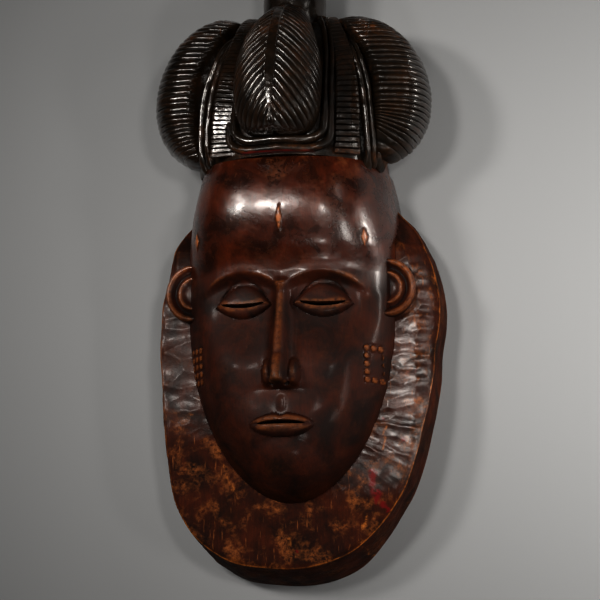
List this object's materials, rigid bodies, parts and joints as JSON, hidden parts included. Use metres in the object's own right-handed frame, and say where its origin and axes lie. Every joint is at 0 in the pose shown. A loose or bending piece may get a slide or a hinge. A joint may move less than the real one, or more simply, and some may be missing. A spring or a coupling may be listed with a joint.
{
  "type": "carved wooden face mask",
  "caption": "West African Baule-style wooden face mask: long calm face, ridged lobed coiffure with a round topknot and a broad adzed collar, hollow at the back.",
  "frame": {"origin": "on the resting plane, which is the plane of the flat back, under the middle of the mask's length and width", "axes": "+Z out of the face, away from the wearer; +Y along the mask from the foot of the collar to the topknot; +X to the right as one faces the mask"},
  "size_m": [0.2246, 0.5056, 0.143],
  "materials": {
    "carved_wood": "dark stained and oiled hardwood, polished on the face and hair, worn to orange on the edges"
  },
  "bodies": {
    "root": {"mask": "carved_wood"}
  },
  "joints": []
}
